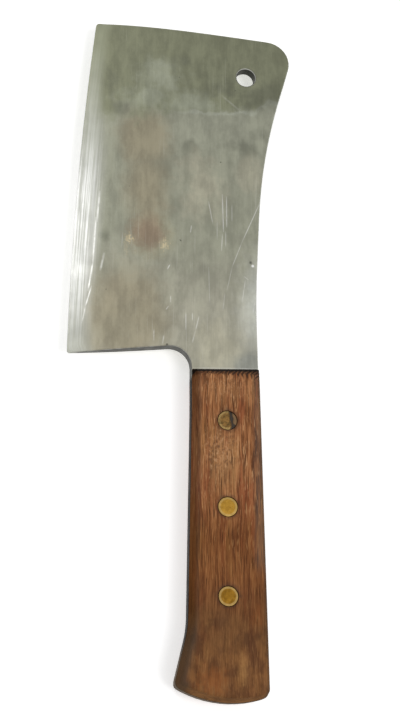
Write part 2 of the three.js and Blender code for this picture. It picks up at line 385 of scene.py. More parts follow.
def make_blade():
    outline = spread(blade_loops[0][:, :2], RIM_SPACING)
    near_edge = np.clip(1 - edge_distance(outline) / EDGE_LIMIT, 0, 1)
    nicks = np.clip(ripple(outline, (ENDLESS, NICK_LENGTH), NICK_SEED), 0, 1) ** 2 * near_edge
    outline = outline - outward_normals(outline) * (nicks * NICK_DEPTH)[:, None]
    holes = [spread(loop[::-1, :2], RIM_SPACING) for loop in blade_loops[1:]]
    is_hanging_hole = [hole[:, 1].mean() > 0 for hole in holes]
    chamfers = [BLADE_CHAMFER] + [HOLE_CHAMFER if hanging else BLADE_CHAMFER for hanging in is_hanging_hole]
    walls = [outline, *holes]
    thickness = [blade_half(edge_distance(wall)) for wall in walls]
    drops = [np.minimum(chamfer, half / 2) for chamfer, half in zip(chamfers, thickness)]
    rims = [wall - outward_normals(wall) * drop[:, None] for wall, drop in zip(walls, drops)]
    inner = grid(rims[0], BLADE_SPACING, BLADE_SPACING)
    for rim in rims:
        inner = inner[loop_distances(inner, rim) > BLADE_SPACING / 2]
    for hole in rims[1:]:
        inner = inner[~inside(inner, hole)]
    shell = Shell()

    def face_height(side):
        def height(plan):
            distance = edge_distance(plan)
            waves = np.clip(ripple(plan, WAVE_LENGTHS, WAVE_SEED * side), -1, 0) * WAVE_DEPTH
            fade = np.clip(distance / GRIND_WIDTH, 0, 1)
            return MIDDLE + side * (blade_half(distance) + waves * fade)
        return height

    upper = shell.sheet(rims, inner, face_height(1))
    upper_wall = [shell.add(w, MIDDLE + half - drop) for w, half, drop in zip(walls, thickness, drops)]
    lower_wall = [shell.add(w, MIDDLE - half + drop) for w, half, drop in zip(walls, thickness, drops)]
    lower = shell.sheet(rims, inner, face_height(-1))
    for rings in zip(upper, upper_wall, lower_wall, lower):
        for one, other in zip(rings, rings[1:]):
            shell.band(one, other)
    on_wall = np.concatenate(upper_wall + lower_wall)

    def wall_value(points):
        value = np.zeros(len(points))
        value[on_wall] = 1
        return value

    values = {"edge_distance": lambda points: edge_distance(points[:, :2]), "wall": wall_value}
    return shell.build("cleaver_blade", BLADE_SHARP_ANGLE, values)


# Scales

rivets = []
for rivet_name in RIVET_NAMES:
    rivet_low, rivet_high = box_mm(f"{rivet_name}_rivet_sleeve")
    rivets.append({
        "name": rivet_name,
        "centre": (rivet_low[:2] + rivet_high[:2]) / 2,
        "radius": (rivet_high[0] - rivet_low[0]) / 2,
        "top": rivet_high[2] - MIDDLE,
    })


# The front, the butt and the flanks of a scale's outline, each as starts and ends of straight stretches
def scale_sides(outline):
    following = np.roll(outline, -1, axis=0)
    along = following - outline
    facing = -along[:, 0] / np.linalg.norm(along, axis=1)
    is_front = facing > FRONT_FACING
    is_butt = facing < -BUTT_FACING
    return [(outline[chosen], following[chosen]) for chosen in (is_front, is_butt, ~is_front & ~is_butt)]


# The outline at the top of a scale's leaning sides: narrower all round, and moved back at the front
def leaned_in(foot):
    normals = outward_normals(foot)
    moved = foot - normals * SIDE_LEAN
    at_front = normals[:, 1] > CORNER_FACING
    low, high = foot[at_front][:, 0].min(), foot[at_front][:, 0].max()
    middle = (low + high) / 2
    narrowed = middle + (foot[:, 0] - middle) * (1 - 2 * SIDE_LEAN / (high - low))
    moved[at_front] = np.column_stack([narrowed, foot[:, 1]])[at_front]
    from_front = distances(foot, *scale_sides(foot)[0])
    moved[:, 1] -= FRONT_LEAN * np.clip(1 - from_front / FRONT_LEAN_REACH, 0, 1)
    return moved


def make_scale(node, side):
    foot = spread(rim_loops(node, -side)[0][:, :2], SCALE_RIM_SPACING)
    outline = leaned_in(foot)
    front, butt, flank = scale_sides(outline)
    foot_front, foot_butt, foot_flank = scale_sides(foot)
    front_left, front_right = front[0][:, 0].min(), front[0][:, 0].max()
    thickness = HALF_GRIP - HALF_BLADE
    head_holes = [circle(r["centre"], r["radius"] + RIVET_CLEARANCE) for r in rivets]
    shank_radius = SLEEVE_DIAMETER / 2 + RIVET_CLEARANCE
    shank_holes = [circle(r["centre"], shank_radius) for r in rivets]

    rings = []
    normals = outward_normals(outline)
    for inset in SHOULDER_RINGS:
        ring = outline - normals * inset
        rings.append(ring[loop_distances(ring, outline) > RING_SHARE * inset])
    inner = grid(outline, GRAIN_STEP, GRAIN_STEP * GRAIN_STRETCH)
    inner = inner[loop_distances(inner, outline) > SHOULDER_RINGS[-1] + GRAIN_STEP]
    inner = np.vstack([inner, *rings])
    inner = inner[inside(inner, outline)]
    for hole in head_holes:
        inner = inner[~inside(inner, hole) & (loop_distances(inner, hole) > GRAIN_STEP)]

    # How deep the slanted strokes of the rasp are, between 0 and 1: deepest at the front, towards the spine
    def rasp_marks(plan):
        from_front = distances(plan, *front)
        across = np.clip((plan[:, 0] - front_left) / (front_right - front_left), 0, 1)
        length = RASP_LENGTH * (RASP_SHORTEST + (1 - RASP_SHORTEST) * across)
        reach = np.clip(RASP_FADE - from_front / length, 0, 1)
        wander = RASP_WANDER * ripple(plan, (RASP_WANDER_LENGTH, RASP_WANDER_LENGTH), RASP_SEED)
        stroke = (plan[:, 0] + RASP_SLANT * from_front + wander) / RASP_PITCH
        groove = np.clip(RASP_GROOVE_TOP - RASP_GROOVE_STEEPNESS * np.abs(stroke % 1 - 0.5), 0, 1)
        return (RASP_FAINTEST + (1 - RASP_FAINTEST) * across) * reach * groove

    def height(plan):
        from_flank = np.clip(distances(plan, *flank) / SHOULDER_WIDTH, 0, 1)
        from_butt = np.clip(distances(plan, *butt) / BUTT_SHOULDER_WIDTH, 0, 1)
        rounded = np.clip(((1 - from_flank) ** 4 + (1 - from_butt) ** 4) ** 0.25, 0, 1)
        shoulder = thickness - SHOULDER_DROP * (1 - np.sqrt(1 - rounded ** 2))
        from_front = distances(plan, *front)
        chamfer = thickness - SHOULDER_DROP * np.clip(1 - from_front / FRONT_CHAMFER_LENGTH, 0, 1)
        rasp = RASP_DEPTH * rasp_marks(plan)
        grain = ripple(plan, GRAIN_LENGTHS, GRAIN_SEED + side)
        grain += FINE_GRAIN_SHARE * ripple(plan, FINE_GRAIN_LENGTHS, FINE_GRAIN_SEED + side)
        pores = PORE_DEPTH * np.clip(grain - PORE_START, 0, 1)
        dents = DENT_DEPTH * np.clip(ripple(plan, DENT_LENGTHS, DENT_SEED * side) - DENT_START, 0, 1)
        worn = (pores + dents) * np.clip(loop_distances(plan, outline) / WEAR_MARGIN, 0, 1)
        from_rivets = [np.linalg.norm(plan - r["centre"], axis=1) - r["radius"] for r in rivets]
        worn += RIVET_DISH_DEPTH * np.clip(1 - np.min(from_rivets, axis=0) / RIVET_DISH_WIDTH, 0, 1)
        return MIDDLE + side * (HALF_BLADE + np.minimum(shoulder, chamfer) - rasp - worn)

    shell = Shell()
    outer = shell.sheet([outline, *head_holes], inner, height)
    seat_height = MIDDLE + side * (rivets[0]["top"] - RIVET_HEAD_HEIGHT)
    flat_height = MIDDLE + side * HALF_BLADE
    flat = shell.sheet([foot, *shank_holes], NO_POINTS, lambda plan: np.full(len(plan), flat_height))
    shell.band(outer[0], flat[0])
    for head_rim, head_hole, shank_hole, shank_rim in zip(outer[1:], head_holes, shank_holes, flat[1:]):
        head_seat = shell.add(head_hole, seat_height)
        shank_seat = shell.add(shank_hole, seat_height)
        shell.band(head_rim, head_seat)
        shell.band(head_seat, shank_seat)
        shell.band(shank_seat, shank_rim)
    values = {
        "flank_distance": lambda points: distances(points[:, :2], *foot_flank),
        "front_distance": lambda points: distances(points[:, :2], *foot_front) - FRONT_LEAN,
        "butt_distance": lambda points: distances(points[:, :2], *foot_butt),
        "rasp": lambda points: rasp_marks(points[:, :2]),
    }
    return shell.build(f"{node}_wood", SCALE_SHARP_ANGLE, values)


# Rivets

# A body turned about a rivet's axis from radii and heights, with the face of its head worn
def make_turned(name, rivet, profile, side, wear):
    shell = Shell()
    rings = []
    for radius, height in profile:
        plan = circle(rivet["centre"], max(radius, WELD))
        heights = height - wear(plan - rivet["centre"], radius, height)
        rings.append(shell.add(plan, MIDDLE + side * heights))
    for one, other in zip(rings, rings[1:]):
        shell.band(one, other)
    shell.faces.append(tuple(rings[0]))
    shell.faces.append(tuple(rings[-1]))
    radius_value = lambda points: np.linalg.norm(points[:, :2] - rivet["centre"], axis=1)
    depth_value = lambda points: rivet["top"] - np.abs(points[:, 2] - MIDDLE)
    return shell.build(name, RIVET_SHARP_ANGLE, {"radius": radius_value, "depth": depth_value})


def head_profile(rivet):
    radius, top = rivet["radius"], rivet["top"]
    steps = [(radius * share, top) for share in np.linspace(*HEAD_FLAT, HEAD_RINGS)]
    for angle in np.linspace(0, math.pi / 2, ROUNDING_RINGS):
        inwards, down = 1 - math.sin(angle), 1 - math.cos(angle)
        steps.append((radius - RIVET_ROUNDING * inwards, top - RIVET_ROUNDING * down))
    return steps


def make_rivet(rivet):
    radius, top = rivet["radius"], rivet["top"]
    seat = top - RIVET_HEAD_HEIGHT
    bore = POST_DIAMETER / 2 + RIVET_CLEARANCE
    shank = SLEEVE_DIAMETER / 2
    shank_end = -HALF_BLADE - SLEEVE_OVERRUN
    seed = rivet["centre"][1]
    is_front = rivet["name"] == "front"

    def wear(plan, ring_radius, height):
        if height < top - RIVET_ROUNDING - WELD:
            return np.zeros(len(plan))
        hammered = HAMMER_DEPTH * (1 + ripple(plan, (HAMMER_LENGTH, HAMMER_LENGTH), seed))
        hammered += HEAD_CROWN * (ring_radius / radius) ** 2
        if is_front:
            ragged = GOUGE_RAGGED * ripple(plan, GOUGE_LENGTHS, seed + GOUGE_SEED)
            across = (plan[:, 0] + GOUGE_SLANT * plan[:, 1] - GOUGE_PLACE + ragged) / GOUGE_HALF_WIDTH
            hammered += GOUGE_DEPTH * np.clip(1 - across ** 2, 0, 1)
            hammered += GOUGE_RIM_DROP * np.clip(across, 0, 1)
        return hammered

    sleeve = head_profile(rivet)
    sleeve += [(radius, seat), (shank, seat), (shank, shank_end)]
    sleeve += [(bore, shank_end), (bore, seat), (AXIS_RADIUS, seat)]
    post = head_profile(rivet)
    post += [(radius, seat), (POST_DIAMETER / 2, seat)]
    post += [(POST_DIAMETER / 2, POST_TIP_GAP - seat), (AXIS_RADIUS, POST_TIP_GAP - seat)]
    name = rivet["name"]
    return [
        (make_turned(f"{name}_rivet_sleeve_brass", rivet, sleeve, 1, wear), f"{name}_rivet_sleeve"),
        (make_turned(f"{name}_rivet_post_brass", rivet, post, -1, wear), f"{name}_rivet_post"),
    ]


# Materials

class Surface:
    """A node material, put together by short calls that each return an output socket"""

    def __init__(self, name):
        self.material = bpy.data.materials.new(name)
        self.material.use_nodes = True
        self.tree = self.material.node_tree
        self.tree.nodes.clear()
        self.shader = self.node("ShaderNodeBsdfPrincipled")
        output = self.node("ShaderNodeOutputMaterial")
        self.tree.links.new(self.shader.outputs[0], output.inputs["Surface"])
        coordinates = self.node("ShaderNodeTexCoord").outputs["Object"]
        self.place = self.stretch(coordinates, (1 / MM,) * 3)
        split = self.node("ShaderNodeSeparateXYZ", [self.place])
        self.x, self.y, self.z = split.outputs
        self.plan = self.joined(self.x, self.y)

    def node(self, kind, feeds=(), **settings):
        node = self.tree.nodes.new(kind)
        for key, value in settings.items():
            setattr(node, key, value)
        for index, value in enumerate(feeds):
            self.feed(node.inputs[index], value)
        return node

    def feed(self, socket, value):
        if isinstance(value, bpy.types.NodeSocket):
            self.tree.links.new(value, socket)
        else:
            socket.default_value = value

    def stretch(self, vector, scale, shift=(0, 0, 0), turn=(0, 0, 0)):
        return self.node("ShaderNodeMapping", [vector, shift, turn, scale]).outputs[0]

    def joined(self, *feeds):
        return self.node("ShaderNodeCombineXYZ", feeds).outputs[0]

    def vector(self, operation, *feeds):
        return self.node("ShaderNodeVectorMath", feeds, operation=operation)

    def math(self, operation, *feeds, clamp=False):
        return self.node("ShaderNodeMath", feeds, operation=operation, use_clamp=clamp).outputs[0]

    def times(self, *feeds):
        result = feeds[0]
        for feed in feeds[1:]:
            result = self.math("MULTIPLY", result, feed)
        return result

    def most(self, *feeds):
        result = feeds[0]
        for feed in feeds[1:]:
            result = self.math("MAXIMUM", result, feed)
        return result

    def plus(self, a, b, scale=1.0):
        return self.math("MULTIPLY_ADD", b, scale, a)

    def noise(self, scale, detail=3.0, roughness=0.55, vector=None):
        node = self.node("ShaderNodeTexNoise")
        self.feed(node.inputs["Vector"], vector or self.place)
        node.inputs["Scale"].default_value = scale
        node.inputs["Detail"].default_value = detail
        node.inputs["Roughness"].default_value = roughness
        return node.outputs[0]

    def ramp(self, value, low, high, start=0.0, end=1.0):
        feeds = [value, low, high, start, end]
        return self.node("ShaderNodeMapRange", feeds, interpolation_type="SMOOTHSTEP").outputs[0]

    def mix(self, share, one, other):
        node = self.node("ShaderNodeMix", data_type="RGBA")
        self.feed(node.inputs[0], share)
        for index, colour in ((6, one), (7, other)):
            is_socket = isinstance(colour, bpy.types.NodeSocket)
            self.feed(node.inputs[index], colour if is_socket else (*colour, 1))
        return node.outputs[2]

    def scale(self, colour, factor):
        node = self.vector("SCALE", colour)
        self.feed(node.inputs["Scale"], factor)
        return node.outputs[0]

    def value(self, name):
        return self.node("ShaderNodeAttribute", attribute_name=name).outputs["Fac"]

    # A soft round patch about a point, drawn out by the given widths
    def patch(self, centre, widths, softness=0.6, warp=None):
        scale = tuple(0.5 / width for width in widths)
        shift = tuple(-0.5 * c / width for c, width in zip(centre, widths))
        moved = self.stretch(self.place, scale, shift)
        near = self.node("ShaderNodeTexGradient", [moved], gradient_type="SPHERICAL").outputs["Fac"]
        if warp is not None:
            near = self.plus(near, warp, -0.5)
        return self.ramp(near, 0.5, 0.5 + 0.5 * softness)

    # The strongest of some patches on one face, each given by its centre, widths, softness and strength
    def spots(self, height, warp, *rows):
        found = []
        for x, y, widths, softness, strength in rows:
            spot = self.patch((x, y, height), widths, softness, warp)
            found.append(spot if strength == 1 else self.times(spot, strength))
        return self.most(*found)

    # A fine line in plan from one point to another
    def line(self, start, end, width):
        start, end = Vector((*start, 0)), Vector((*end, 0))
        along = end - start
        offset = self.vector("SUBTRACT", self.plan, start).outputs[0]
        reach = self.vector("DOT_PRODUCT", offset, along / along.length_squared)
        share = self.math("MULTIPLY", reach.outputs["Value"], 1, clamp=True)
        foot = self.scale(along, share)
        gap = self.vector("DISTANCE", offset, foot).outputs["Value"]
        taper = self.ramp(self.math("PINGPONG", share, 0.5), 0, 0.2, 0.35, 1)
        return self.times(self.ramp(gap, width, width * 0.2), taper)

    def bump(self, height, strength, distance, normal=None):
        node = self.node("ShaderNodeBump")
        node.inputs["Strength"].default_value = strength
        node.inputs["Distance"].default_value = distance * MM
        self.feed(node.inputs["Height"], height)
        if normal is not None:
            self.feed(node.inputs["Normal"], normal)
        return node.outputs[0]

    def finish(self, colour, roughness, normal, metallic):
        self.feed(self.shader.inputs["Base Color"], colour)
        self.feed(self.shader.inputs["Roughness"], roughness)
        self.feed(self.shader.inputs["Normal"], normal)
        self.feed(self.shader.inputs["Metallic"], metallic)
        return self.material


# Scratches that stand out by themselves on the blade's upper face: start, end, half width and strength
SCRATCHES = (
    ((36.5, 70.5), (27.5, 49.5), 0.34, 0.55),
    ((27.5, 49.5), (23.0, 37.5), 0.34, 0.4),
    ((23.0, 37.5), (20.5, 26.0), 0.3, 0.25),
    ((18.5, 73.0), (19.0, 54.5), 0.36, 0.75),
    ((18.5, 53.0), (18.0, 45.0), 0.34, 0.5),
    ((20.5, 72.0), (20.5, 57.0), 0.36, 0.7),
    ((20.0, 54.5), (20.0, 47.0), 0.3, 0.4),
    ((12.0, 69.0), (14.0, 58.0), 0.32, 0.5),
    ((23.0, 68.0), (23.0, 60.0), 0.3, 0.35),
    ((16.0, 60.0), (16.0, 50.5), 0.28, 0.3),
    ((29.0, 31.0), (27.5, 20.5), 0.34, 0.4),
    ((28.5, 33.0), (30.5, 31.5), 0.3, 0.35),
    ((4.0, 56.5), (3.5, 53.0), 0.4, 0.5),
    ((-6.0, 36.5), (-7.0, 34.5), 0.45, 0.75),
    ((-5.5, 21.5), (-5.5, 18.5), 0.36, 0.5),
    ((-6.5, 16.5), (-7.5, 15.0), 0.36, 0.5),
    ((1.5, 14.0), (1.5, 6.0), 0.4, 0.5),
    ((4.5, 14.0), (4.5, 10.5), 0.36, 0.4),
    ((7.5, 12.5), (6.0, 6.0), 0.4, 0.45),
    ((6.0, 6.0), (4.5, 0.0), 0.4, 0.35),
    ((12.0, 36.5), (12.5, 18.5), 0.3, 0.25),
    ((19.5, 24.0), (18.5, 16.0), 0.34, 0.3),
    ((33.5, 21.0), (32.5, 15.5), 0.34, 0.45),
    ((-13.0, 5.0), (-13.0, 0.0), 0.4, 0.4),
    ((-8.5, 2.5), (-9.0, -1.5), 0.4, 0.4),
    ((-36.0, 40.5), (-37.5, 32.5), 0.7, 0.45),
    ((-38.5, 71.0), (-39.5, 56.0), 0.6, 0.8),
    ((-40.0, 58.0), (-41.0, 35.0), 0.65, 1.0),
    ((-41.0, 36.0), (-42.8, 22.5), 0.6, 1.0),
    ((-41.4, 24.5), (-43.8, 15.0), 0.5, 0.85),
    ((-43.8, 15.0), (-45.2, 7.0), 0.4, 0.6),
    ((18.5, 124.0), (27.0, 117.0), 0.7, 0.14),
    ((4.4, -12.0), (34.3, -10.9), 0.5, 0.3),
)

# The old tide line across the toe: its place along the blade, its slope and its rise at the spine
TIDE_HEIGHT = 113.8
TIDE_SLOPE = 0.09
TIDE_RISE = 4.5


def steel_material():
    s = Surface("worn_steel")
    from_edge = s.value("edge_distance")
    wall = s.value("wall")
    broad = s.noise(0.028, 3)
    medium = s.noise(0.085, 4, 0.6)
    small = s.noise(0.3, 4, 0.6)
    speckle = s.noise(0.9, 3, 0.6)
    hair = s.noise(1, 2, 0.6, s.stretch(s.place, (1.5, 0.035, 1.5)))
    fine = s.noise(1, 2, 0.6, s.stretch(s.place, (3.6, 0.07, 3.6), (7, 3, 5)))
    uneven = s.math("SUBTRACT", s.plus(medium, small, 0.4), 0.7)
    loose = s.times(uneven, 2)

    # Grey steel, paler and more silvery towards the grip
    colour = s.mix(s.ramp(s.plus(s.y, uneven, 40), 62, 6), (0.395, 0.4, 0.312), (0.468, 0.453, 0.362))
    near_spine = s.patch((40, 18, FACE), (20, 38, 12), 0.9, s.times(uneven, 0.8))
    silver = s.most(
        s.times(near_spine, s.ramp(s.y, -14, 10, 0.55, 1)),
        s.patch((-30, 40, LOWER_FACE), (24, 60, 4), 0.9, loose),
    )
    colour = s.mix(s.times(silver, 0.9), colour, (0.7, 0.72, 0.655))
    pale = s.spots(
        FACE, loose,
        (15, -3, (14, 17, 6), 0.8, 1),
        (9, 76, (15, 22, 6), 0.9, 0.9),
        (32, 84, (9, 14, 6), 0.8, 0.8),
    )
    colour = s.mix(s.times(pale, 0.8), colour, (0.56, 0.535, 0.41))
    neck_mark = s.patch((35, -10, FACE), (15, 8, 6), 0.5, uneven)
    colour = s.mix(s.times(neck_mark, 0.85), colour, (0.355, 0.365, 0.325))

    # Brown stains, the round mark of heat and painted glints beside it
    stains = s.most(
        s.patch((-18, 99, FACE), (17, 20, 9), 0.6, s.times(uneven, 0.6)),
        s.patch((-17, 73, FACE), (15, 30, 9), 0.75, s.times(uneven, 0.6)),
        s.patch((-25, 11, FACE), (25, 33, 9), 0.6, s.times(uneven, 0.5)),
        s.times(s.patch((-12, 60, LOWER_FACE), (26, 44, 4), 0.8, loose), 0.8),
    )
    colour = s.mix(s.times(stains, 0.85), colour, (0.388, 0.347, 0.245))
    heat_warp = s.plus(s.times(uneven, 0.7), s.math("SUBTRACT", speckle, 0.5), 0.35)
    heat = s.patch((-16, 51.5, FACE), (12, 13, 7), 0.8, heat_warp)
    halo = s.patch((-14, 50, FACE), (13.5, 14, 7), 0.5, heat_warp)
    colour = s.mix(s.times(halo, 0.4), colour, (0.44, 0.41, 0.27))
    colour = s.mix(s.times(heat, 0.8), colour, (0.375, 0.28, 0.2))
    # Painted highlights: pale yellow glints drawn into the colour at both sides of the heat mark
    glint_warp = s.times(s.math("SUBTRACT", speckle, 0.5), 3)
    painted_glints = s.spots(
        FACE, glint_warp,
        (-25, 48.3, (2.6, 3.0, 3), 0.9, 1),
        (-8.5, 46, (2.6, 3.4, 3), 0.9, 0.8),
        (-26, 44, (1.8, 5, 3), 0.9, 0.35),
    )
    colour = s.mix(s.times(painted_glints, s.ramp(fine, 0.38, 0.62, 0.25, 0.85)), colour, (0.84, 0.71, 0.45))

    # Dark green-grey toe above an old tide line, with a cloud rubbed paler in its middle
    blur = s.ramp(s.x, 2, -16, 1, 4)
    level = s.plus(s.plus(s.y, s.x, -TIDE_SLOPE), s.ramp(s.x, 33, 42, 0, -TIDE_RISE))
    above = s.math("SUBTRACT", s.plus(level, s.times(uneven, blur), 8), TIDE_HEIGHT)
    under = s.times(s.ramp(s.plus(above, uneven, 24), -28, -8), s.ramp(s.x, -14, 6))
    colour = s.mix(s.times(under, 0.3), colour, (0.47, 0.482, 0.385))
    toe = s.ramp(s.math("DIVIDE", above, blur), -1.6, 2.2)
    colour = s.mix(toe, colour, (0.298, 0.308, 0.21))
    cloud = s.most(
        s.patch((-11, 132, FACE), (16, 14, 9), 0.95, s.times(uneven, 1.8)),
        s.patch((-17, 120, FACE), (15, 10, 9), 0.95, s.times(uneven, 1.8)),
        s.patch((4, 117, FACE), (26, 9, 9), 0.9, loose),
        s.times(s.patch((14, 126, LOWER_FACE), (18, 16, 4), 0.9, s.times(uneven, 3.2)), 0.8),
    )
    colour = s.mix(s.times(cloud, toe, 0.85), colour, (0.44, 0.46, 0.355))
    line_gap = s.math("ABSOLUTE", s.plus(above, small, 1.2))
    tide = s.times(s.ramp(line_gap, 1.3, 0.2), s.ramp(s.x, -8, 4), s.ramp(small, 0.35, 0.6, 0.4, 1))
    colour = s.mix(s.times(tide, 0.65), colour, (0.5, 0.52, 0.43))
    smudges = s.spots(
        FACE, loose,
        (37, 125, (15, 9, 6), 0.8, 0.56),
        (19, 127, (13, 8, 6), 0.9, 0.6),
        (36, 106, (8, 6, 6), 0.9, 0.3),
        (3.5, 97, (5, 5, 5), 0.9, 0.45),
        (30, 97, (10, 5, 5), 0.9, 0.5),
        (4, 45, (17, 13, 6), 0.9, 0.17),
        (-31, 78, (8, 28, 6), 0.9, 0.12),
        (-35, 128, (5, 8, 5), 0.9, 0.5),
        (-30, 113, (6, 5, 5), 0.9, 0.7),
        (-2, 140, (7, 5, 5), 0.9, 0.5),
    )
    round_smudges = s.spots(
        FACE, uneven,
        (-29, 6, (15, 15, 6), 0.8, 0.17),
        (-36, 49.5, (4.5, 4.5, 5), 0.8, 0.8),
    )
    smudges = s.most(smudges, round_smudges)
    colour = s.mix(s.times(smudges, 0.72), colour, (0.185, 0.192, 0.145))
    drawn = s.noise(0.17, 4, 0.62, s.stretch(s.place, (1, 0.35, 1), (3, 9, 4)))
    mottle = s.ramp(s.plus(drawn, s.plus(medium, speckle, 0.3), 0.45), 0.58, 1.0, 0.805, 1.085)
    colour = s.scale(colour, mottle)

    # Rubbing along the blade: hair lines everywhere, and the streaks of the sharpened bevel
    colour = s.scale(colour, s.ramp(s.plus(hair, fine, 0.6), 0.6, 1.0, 0.98, 1.02))
    worn = s.noise(0.05, 2, 0.5, s.stretch(s.place, (1, 0.6, 1), (11, 2, 9)))
    rubbed_most = s.spots(FACE, loose, (5, 8, (42, 22, 9), 0.9, 0.9), (-20, 46, (17, 9, 9), 0.8, 1.6))
    where = s.most(s.ramp(worn, 0.5, 0.72), rubbed_most)
    hairs = s.times(s.ramp(s.plus(hair, fine, 0.6), 0.9, 1.06), where)
    colour = s.mix(s.times(hairs, 0.28), colour, (0.72, 0.72, 0.65))
    streak = s.noise(1, 4, 0.65, s.joined(s.times(from_edge, 1.5), s.times(s.y, 0.025), s.z))
    width = s.plus(s.ramp(s.y, 130, 84, 8.5, 14.5), s.ramp(s.y, 50, 15), -2.5)
    bevel = s.ramp(s.math("DIVIDE", from_edge, width), 1, 0.3)
    lengthwise = s.plus(s.times(s.ramp(s.y, 98, 68), 0.62), s.ramp(s.plus(s.y, broad, 10), 160, 112), 0.38)
    lengthwise = s.times(lengthwise, s.ramp(s.y, -32, 56))
    streaky = s.times(s.ramp(streak, 0.34, 0.64, -0.35, 0.3), s.ramp(s.y, 126, 84, 0.25, 1))
    polish = s.times(lengthwise, s.plus(streaky, 0.9))
    dull = s.mix(s.ramp(s.y, 84, 122), (0.4, 0.41, 0.345), (0.365, 0.38, 0.27))
    bevel_colour = s.mix(polish, dull, (0.825, 0.83, 0.8))
    crease = s.ramp(s.math("ABSOLUTE", s.math("SUBTRACT", from_edge, BEVEL_WIDTH + 0.5)), 1.3, 0.2)
    bevel_colour = s.scale(bevel_colour, s.plus(1.0, s.times(crease, lengthwise), -0.2))
    colour = s.mix(s.times(bevel, s.ramp(streak, 0.35, 0.6, 0.82, 1)), colour, bevel_colour)
    polish = s.times(bevel, polish)
    upper = s.ramp(s.z, MIDDLE, MIDDLE + EDGE_THICKNESS / 4)
    scratch = s.most(*[
        s.times(s.line(start, end, half_width), strength)
        for start, end, half_width, strength in SCRATCHES
    ])
    scratch = s.times(scratch, s.ramp(small, 0.3, 0.55, 0.5, 1), upper)
    colour = s.mix(scratch, colour, (0.92, 0.92, 0.87))

    # Pits: small ones away from the edge, two more in set places and one rubbed bright
    pits = s.ramp(s.noise(0.42, 1, 0.4, s.stretch(s.place, (1, 1, 1), (5, 17, 3))), 0.79, 0.84)
    pits = s.times(pits, s.ramp(from_edge, 14, 18))
    two_pits = s.spots(FACE, None, (-7, -1.6, (0.7, 0.7, 2), 0.5, 1), (31.6, 40, (1, 1.2, 2), 0.9, 1))
    pits = s.most(pits, two_pits)
    colour = s.mix(s.times(pits, 0.75), colour, (0.08, 0.08, 0.065))
    bright_pit = s.patch((32.6, 38.4, FACE), (0.9, 0.9, 2), 0.6)
    colour = s.mix(bright_pit, colour, (0.95, 0.95, 0.92))

    # Dark upright walls with painted shadow inside the hanging hole, corners partly rubbed bright and
    # partly painted as highlights, and the dark tang between the scales, paler towards its right side and
    # rust-brown at the butt
    blunt = s.ramp(from_edge, 0.8, 4)
    corner = s.times(s.ramp(wall, 0.15, 0.5), s.ramp(wall, 0.98, 0.6))
    # Painted shadow: the wall of the hanging hole is drawn almost black, and its rim is fully brightened as
    # a painted highlight
    in_hole = s.patch((*hanging_hole, MIDDLE), (7, 7, 7), 0.2)
    wall_colour = s.mix(s.ramp(small, 0.4, 0.65), (0.05, 0.051, 0.047), (0.088, 0.089, 0.082))
    wall_colour = s.mix(in_hole, wall_colour, (0.025, 0.025, 0.022))
    colour = s.mix(s.times(s.ramp(wall, 0.5, 0.95), blunt, 0.95), colour, wall_colour)
    # Corners brightened partly as rubbed wear and partly as painted highlights
    worn_and_highlit = s.most(s.ramp(small, 0.35, 0.6, 0.3, 0.85), in_hole)
    colour = s.mix(s.times(corner, worn_and_highlit), colour, (0.78, 0.78, 0.72))
    tang = s.ramp(s.y, -15, -18)
    rust = s.ramp(s.plus(s.y, medium, 30), -112, -128)
    tang_colour = s.mix(s.ramp(s.x, 22, 32), (0.036, 0.033, 0.031), (0.1, 0.098, 0.09))
    tang_colour = s.mix(rust, tang_colour, (0.1, 0.066, 0.036))
    colour = s.mix(tang, colour, tang_colour)

    rub = s.times(s.most(polish, scratch, s.times(hairs, 0.6)), s.ramp(tang, 1, 0))
    roughness = s.plus(s.ramp(medium, 0.3, 0.7, 0.42, 0.55), s.plus(s.times(rub, -0.14), tang, 0.2))
    normal = s.bump(s.plus(hair, fine, 0.5), 0.1, 0.05)
    normal = s.bump(small, 0.18, 0.12, normal)
    return s.finish(colour, roughness, normal, 1.0)


# The middle of the dark band across the grip
DARK_BAND = -124.0


